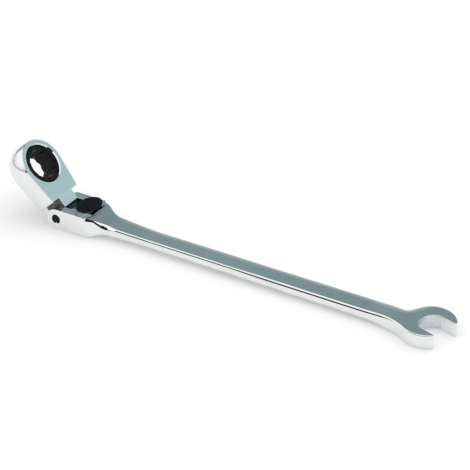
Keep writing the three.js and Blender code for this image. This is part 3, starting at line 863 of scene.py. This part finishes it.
# Several of the mix's sockets share a name, so they are given by number.
def mixColors(tree, share, a, b):
    return addNode(tree, "ShaderNodeMix", {0: share, 6: a, 7: b}, data_type="RGBA").outputs[2]


def mixShaders(tree, share, a, b):
    return addNode(tree, "ShaderNodeMixShader", {0: share, 1: a, 2: b}).outputs[0]


def coordinates(tree, kind):
    place = addNode(tree, "ShaderNodeTexCoord", {}).outputs[kind]
    return addNode(tree, "ShaderNodeSeparateXYZ", {0: place}).outputs


def newMaterial(name):
    material = bpy.data.materials.new(name)
    material.use_nodes = True
    return material, material.node_tree


grainInputs = {
    "clean": "Color", "dull": "Color", "clouds": "Float", "lines": "Float", "stretch": "Vector",
    "smooth": "Float", "rough": "Float",
}
grainOutputs = {"color": "Color", "roughness": "Float", "height": "Float"}


# Fine lines left by polishing or grinding along one way, clouded by handling: a stretched noise for the
# lines and a soft one for the clouds.
def makeGrainGroup():
    tree = bpy.data.node_groups.new("grain", "ShaderNodeTree")
    for way, sockets in (("INPUT", grainInputs), ("OUTPUT", grainOutputs)):
        for name, kind in sockets.items():
            tree.interface.new_socket(name, in_out=way, socket_type="NodeSocket" + kind)
    given = tree.nodes.new("NodeGroupInput").outputs
    place = addNode(tree, "ShaderNodeTexCoord", {}).outputs["Object"]
    stretched = addNode(tree, "ShaderNodeVectorMath", {0: place, 1: given["stretch"]}, operation="MULTIPLY")

    def noise(vector, scale, detail, roughness):
        inputs = {"Vector": vector, "Scale": scale, "Detail": detail, "Roughness": roughness}
        return addNode(tree, "ShaderNodeTexNoise", inputs).outputs["Fac"]

    clouds = noise(place, given["clouds"], 4.0, 0.6)
    lines = noise(stretched.outputs[0], given["lines"], 3.0, 0.7)
    clouded = ramp(tree, clouds, 0.42, 0.75)
    lined = ramp(tree, lines, 0.5, 0.8, "LINEAR")
    worn = compute(tree, "MAXIMUM", product(tree, clouded, 0.7), lined)
    addNode(tree, "NodeGroupOutput", {
        "color": mixColors(tree, clouded, given["clean"], given["dull"]),
        "roughness": ramp(tree, worn, 0.0, 1.0, "LINEAR", given["smooth"], given["rough"]),
        "height": compute(tree, "ADD", product(tree, lines, 0.6), product(tree, clouds, 0.4)),
    })
    return tree


grainGroup = makeGrainGroup()


def makeFinish(name, values):
    material, tree = newMaterial(name)
    grain = addNode(
        tree, "ShaderNodeGroup", {key: value for key, value in values.items() if key in grainInputs},
        node_tree=grainGroup,
    ).outputs
    bump = addNode(tree, "ShaderNodeBump", {
        "Height": grain["height"], "Strength": values["bump"], "Distance": values["depth"] * mm,
    })
    feed(tree, tree.nodes["Principled BSDF"], {
        "Metallic": values.get("metallic", 1.0),
        "Specular IOR Level": values.get("specular", 0.5),
        "Base Color": grain["color"],
        "Roughness": grain["roughness"],
        "Normal": bump.outputs[0],
    })
    return material


# Colours where clean and where dull, scales of the clouds and of the lines, stretch of the lines, roughness
# where clean and where dull, and bump with its depth in millimetres
ground = dict(clouds=180.0, lines=1300.0, stretch=(1.0, 0.05, 1.0), smooth=0.2, rough=0.4, bump=0.1, depth=0.03)
finishes = {
    "mirrorChrome": dict(
        clean=(0.93, 0.94, 0.945, 1), dull=(0.90, 0.915, 0.92, 1), clouds=55.0, lines=700.0,
        stretch=(0.05, 1.0, 1.0), smooth=0.045, rough=0.085, bump=0.02, depth=0.02,
    ),
    # A rougher chrome, darkened as painted shade for the throat of the opening
    "shadedSatinChrome": dict(
        clean=(0.74, 0.79, 0.80, 1), dull=(0.58, 0.62, 0.63, 1), clouds=160.0, lines=1500.0,
        stretch=(1.0, 1.0, 0.06), smooth=0.14, rough=0.3, bump=0.06, depth=0.02,
    ),
    "blackOxide": dict(
        clean=(0.006, 0.0062, 0.007, 1), dull=(0.014, 0.0145, 0.016, 1), clouds=240.0, lines=1500.0,
        stretch=(1.0, 1.0, 1.0), smooth=0.25, rough=0.42, bump=0.15, depth=0.03, metallic=0.0, specular=0.12,
    ),
    "buttonBlack": dict(
        clean=(0.004, 0.0042, 0.005, 1), dull=(0.008, 0.0083, 0.0095, 1), clouds=300.0, lines=2200.0,
        stretch=(1.0, 1.0, 1.0), smooth=0.3, rough=0.45, bump=0.25, depth=0.04, metallic=0.0, specular=0.1,
    ),
    # A dark steel that paints shade into the slot between the yoke's ears and onto the tongue
    "shadedSlotSteel": dict(
        clean=(0.10, 0.112, 0.118, 1), dull=(0.06, 0.068, 0.072, 1), clouds=200.0, lines=1100.0,
        stretch=(0.08, 1.0, 1.0), smooth=0.12, rough=0.3, bump=0.08, depth=0.03,
    ),
    "barSteel": dict(ground, clean=(0.40, 0.42, 0.43, 1), dull=(0.26, 0.275, 0.285, 1)),
    "zincPlate": dict(
        clean=(0.62, 0.74, 0.77, 1), dull=(0.50, 0.60, 0.63, 1), clouds=220.0, lines=1200.0,
        stretch=(1.0, 1.0, 1.0), smooth=0.45, rough=0.6, bump=0.1, depth=0.03, metallic=0.0, specular=0.2,
    ),
    "groundSteel": dict(ground, clean=(0.56, 0.58, 0.59, 1), dull=(0.42, 0.43, 0.44, 1)),
    "springWire": dict(
        clean=(0.46, 0.47, 0.48, 1), dull=(0.3, 0.31, 0.32, 1), clouds=400.0, lines=1600.0,
        stretch=(1.0, 1.0, 1.0), smooth=0.25, rough=0.45, bump=0.08, depth=0.02,
    ),
}
materials = {name: makeFinish(name, values) for name, values in finishes.items()}


for piece, body, node, material, slot in (
    (handle, "handle", "handle_body", "mirrorChrome", "chrome_handle"),
    (pin, "handle", "pivot_pin", "blackOxide", "black_pin"),
    (housing, "head", "head_housing", "mirrorChrome", "chrome_head"),
    (gear, "gear", "ratchet_gear", "blackOxide", "black_gear"),
    (button, "lock", "lock_button", "buttonBlack", "button_black"),
    (springs["lock_spring"][0], "handle", "lock_spring", "springWire", "spring_steel"),
    (springs["pawl_spring"][0], "head", "pawl_spring", "springWire", "pawl_spring_steel"),
):
    piece.data.materials.clear()
    piece.data.materials.append(materials[material])
    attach(piece, body)
    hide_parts(node)


# Gives another material to the faces whose middles, in millimetres along the given axes from the pivot
# pin, pass the test.
def paintInside(piece, material, axes, inside):
    mesh = piece.data
    centres = np.empty(len(mesh.polygons) * 3)
    mesh.polygons.foreach_get("center", centres)
    centres = (centres.reshape(-1, 3) - np.array(pinAt)) / mm @ np.array(axes).T
    index = np.empty(len(mesh.polygons), int)
    mesh.polygons.foreach_get("material_index", index)
    index[inside(*centres.T)] = len(mesh.materials)
    mesh.materials.append(materials[material])
    mesh.polygons.foreach_set("material_index", index)
    mesh.update()


near = 0.03  # a face counts as part of a surface when its middle lies this close
upright = np.eye(3)
# The slot and channel between the yoke's ears get the dark steel, which paints shade into them.
paintInside(
    handle, "shadedSlotSteel", upright,
    lambda x, y, z: (np.abs(y) < handleSizes["slotHalf"] + near) & (x < handleSizes["channelEnd"] + near)
    & (np.abs(z) < yokeMiddle - 0.12),
)
# The throat gets a rougher chrome, whose darker colour is painted shade inside the opening.
throatAt = jawPoint(handleSizes["throatRadius"] - handleSizes["throatDepth"], 0)
paintInside(
    handle, "shadedSatinChrome", upright,
    lambda x, y, z: np.abs(np.hypot(x - throatAt[0], y - throatAt[1]) - handleSizes["throatRadius"]) < near,
)
# The narrow slot and the tongue that fills it get a dark steel, which paints shade between the parts.
paintInside(
    housing, "shadedSlotSteel", [headAlong, headAcross, headUp],
    lambda x, y, z: (x < headSizes["shoulder"] - near) & (np.abs(y) < headSizes["tongueHalf"] + near)
    & (np.abs(z) < headSizes["thick"] / 2 - 0.06),
)
notchFloor = pinSizes["notch"][2] - pinSizes["half"]
paintInside(pin, "groundSteel", upright, lambda x, y, z: np.abs(y - notchFloor) < near)
underRim = buttonSizes["bottom"] + buttonSizes["height"] - buttonSizes["rim"] - yokeMiddle
paintInside(button, "zincPlate", upright, lambda x, y, z: z < underRim - near)
carried = {
    "lock_bar": "barSteel",
    "button_pin": "groundSteel",
    "retaining_ring": "springWire",
    "ratchet_pawl": "blackOxide",
    "pawl_plunger": "groundSteel",
}
for node, material in carried.items():
    for slot in frame["nodes"][node].material_slots:
        slot.material = materials[material]
print("materials made:", len(materials))

for node, joint in (("lock_spring", "lock_slide"), ("pawl_spring", "pawl_slide")):
    spring, anchor, keep = springs[node]
    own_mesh(spring)

# The studio's lengths are in metres.
white = (1.0, 1.0, 1.0, 1)
floorSizes = {
    "half": 6.0,
    "below": 0.0001,  # clear of the tool's flat underside
    "white": (0.96, 0.84),  # as the eye sees it and in reflections
    "glow": (0.17, 0.3),  # share of its own even light, likewise
    "glowMirrored": 0.9,
    "edges": (-0.39, -0.17),  # where it ends at the left and in front, in reflections
}
boardSizes = {
    "left": -0.19,
    "right": 0.45,
    "front": -0.2,
    "bottom": -0.3,
    "top": 0.22,
    "soft": 0.02,  # its left edge
    "stepAcross": (0.0, 0.03),  # where its lower right part begins
    "stepUp": (0.115, 0.13),  # and ends
    "black": (0.012, 0.014, 0.015, 1),
}
lampSizes = {"place": (0.1, 0.3, 1.2), "width": 1.2, "power": 3.0}
cameraSizes = {
    "lens": 242.65,
    "aim": (79.90, 13.81, 9.68),  # in millimetres, from the ground under the pivot pin
    "azimuth": math.radians(31.81),
    "elevation": math.radians(30.27),
    "distance": 1.395,
    "near": 0.01,
}
# What reflections show of the room, as patches laid one over another: the colour, how strongly it covers, and
# ramps that say where. A ramp has the way it runs and the values where the patch starts and where it is full:
# x, y and z are the direction's own, and round is its angle from the left towards the back, in radians.
room = {
    "white": 0.93,  # soft light on dull surfaces
    "card": (0.215, 0.297, 0.315, 1),
    "cardPatches": [
        ((0.41, 0.57, 0.595, 1), 1.0, [("x", 0.15, 0.6)]),
        ((0.12, 0.17, 0.18, 1), 0.25, [("z", 0.5, 0.85)]),
        ((0.15, 0.208, 0.22, 1), 0.25, [("x", -0.46, -0.39), ("x", 0.1, -0.1)]),
        ((0.66, 0.72, 0.73, 1), 1.0, [("z", 0.55, 0.0, "LINEAR"), ("z", 0.55, 0.0, "LINEAR")]),
        ((0.33, 0.40, 0.42, 1), 1.0, [("round", 1.25, 0.9), ("z", 0.35, 0.1)]),
    ],
    "cardPlace": [("y", 0.2, 0.32), ("round", 0.34, 0.42)],
    "reflector": (0.66, 0.73, 0.73, 1),
    "reflectorPatches": [
        ((0.85, 0.87, 0.90, 1), 1.0, [("round", 0.1, -0.6)]),
        (white, 1.0, [("z", 0.0, 0.22)]),
    ],
    "lastPatches": [
        # A streak between the reflector and the card, and the floor beyond the bench
        ((0.22, 0.26, 0.26, 1), 0.75, [
            ("round", 0.24, 0.34), ("round", 0.46, 0.36), ("z", -0.1, 0.02), ("z", 0.34, 0.2),
        ]),
        ((0.50, 0.565, 0.585, 1), 1.0, [("z", 0.02, -0.03)]),
    ],
}


def makeSheet(name, corners):
    mesh = bpy.data.meshes.new(name)
    mesh.from_pydata(corners, [], [(0, 1, 2, 3)])
    material, tree = newMaterial(name)
    mesh.materials.append(material)
    return addObject(name, mesh), tree


# A white sheet with no end for the eye. In reflections it ends in front and at the left of the tool, and
# the darker room shows beyond it.
def makeFloor():
    s = floorSizes
    half = s["half"]
    floor, tree = makeSheet("floor", [(-half, -half, 0), (half, -half, 0), (half, half, 0), (-half, half, 0)])
    floor.location.z = -s["below"]
    rays = addNode(tree, "ShaderNodeLightPath", {}).outputs
    seen, mirrored = rays["Is Camera Ray"], rays["Is Glossy Ray"]
    paper = feed(tree, tree.nodes["Principled BSDF"], {
        "Base Color": ramp(tree, mirrored, 0.0, 1.0, "LINEAR", *s["white"]),
        "Roughness": 1.0,
        "Specular IOR Level": 0.0,
    })
    light = addNode(tree, "ShaderNodeEmission", {
        "Color": white, "Strength": ramp(tree, mirrored, 0.0, 1.0, "LINEAR", 1.0, s["glowMirrored"]),
    })
    glow = compute(tree, "ADD", product(tree, seen, s["glow"][0]), product(tree, mirrored, s["glow"][1]))
    lit = mixShaders(tree, glow, paper.outputs[0], light.outputs[0])
    x, y, z = coordinates(tree, "Object")
    left, front = (compute(tree, "GREATER_THAN", way, edge) for way, edge in zip((x, y), s["edges"]))
    beyond = product(tree, mirrored, compute(tree, "SUBTRACT", 1.0, product(tree, left, front)))
    clear = addNode(tree, "ShaderNodeBsdfTransparent", {}).outputs[0]
    feed(tree, tree.nodes["Material Output"], {"Surface": mixShaders(tree, beyond, lit, clear)})


# A black board standing in front of the tool, a little beyond the sheet, and lower towards the right. Only
# reflections show it.
def makeBoard():
    s = boardSizes
    corners = [
        (s[side], s["front"], s[level])
        for side, level in (("left", "bottom"), ("right", "bottom"), ("right", "top"), ("left", "top"))
    ]
    board, tree = makeSheet("board", corners)
    x, y, z = coordinates(tree, "Object")
    within = ramp(tree, x, s["left"], s["left"] + s["soft"])
    cutAway = product(tree, ramp(tree, x, *s["stepAcross"]), ramp(tree, z, *s["stepUp"]))
    solid = product(tree, within, compute(tree, "SUBTRACT", 1.0, cutAway))
    dark = addNode(tree, "ShaderNodeEmission", {"Color": s["black"], "Strength": 1.0}).outputs[0]
    clear = addNode(tree, "ShaderNodeBsdfTransparent", {}).outputs[0]
    feed(tree, tree.nodes["Material Output"], {"Surface": mixShaders(tree, solid, clear, dark)})
    for rays in ("camera", "diffuse", "shadow", "transmission"):
        setattr(board, "visible_" + rays, False)


# White all round for the eye and for soft light. In reflections the room has a tall grey-blue card behind
# the bench, paler to the right and hazy towards its foot, a white reflector at the left and a grey floor
# beyond the bench.
def makeRoom():
    world = bpy.data.worlds.new("room")
    bpy.context.scene.world = world
    world.use_nodes = True
    tree = world.node_tree
    tree.nodes.clear()
    x, y, z = coordinates(tree, "Generated")
    ways = {"x": x, "y": y, "z": z, "round": compute(tree, "ARCTAN2", y, product(tree, x, -1.0))}

    def layered(color, patches):
        for paint, share, ramps in patches:
            for way, *ends in ramps:
                share = product(tree, ramp(tree, ways[way], *ends), share)
            color = mixColors(tree, share, color, paint)
        return color

    card = layered(room["card"], room["cardPatches"])
    reflector = layered(room["reflector"], room["reflectorPatches"])
    mirrored = layered(reflector, [(card, 1.0, room["cardPlace"])] + room["lastPatches"])
    rays = addNode(tree, "ShaderNodeLightPath", {}).outputs
    background = addNode(tree, "ShaderNodeBackground", {
        "Color": mixColors(tree, rays["Is Glossy Ray"], white, mirrored),
        "Strength": ramp(tree, rays["Is Diffuse Ray"], 0.0, 1.0, "LINEAR", 1.0, room["white"]),
    })
    addNode(tree, "ShaderNodeOutputWorld", {"Surface": background.outputs[0]})


# A broad soft lamp overhead, which no reflection shows
def makeLamp():
    data = bpy.data.lights.new("keyLamp", "AREA")
    data.shape = "DISK"
    data.size = lampSizes["width"]
    data.energy = lampSizes["power"]
    lamp = addObject("keyLamp", data)
    lamp.location = lampSizes["place"]
    lamp.rotation_euler = (-lamp.location).to_track_quat("-Z", "Y").to_euler()
    lamp.visible_glossy = False


def makeCamera():
    s = cameraSizes
    data = bpy.data.cameras.new("camera")
    data.lens = s["lens"]
    data.clip_start = s["near"]
    camera = addObject("camera", data)
    flat = math.cos(s["elevation"])
    back = Vector((math.sin(s["azimuth"]) * flat, -math.cos(s["azimuth"]) * flat, math.sin(s["elevation"])))
    camera.location = Vector((pinAt.x, pinAt.y, 0)) + Vector(s["aim"]) * mm + back * s["distance"]
    camera.rotation_euler = back.to_track_quat("Z", "Y").to_euler()
    bpy.context.scene.camera = camera


makeFloor()
makeBoard()
makeRoom()
makeLamp()
makeCamera()
bpy.context.scene.view_settings.view_transform = "Standard"
print("studio made")
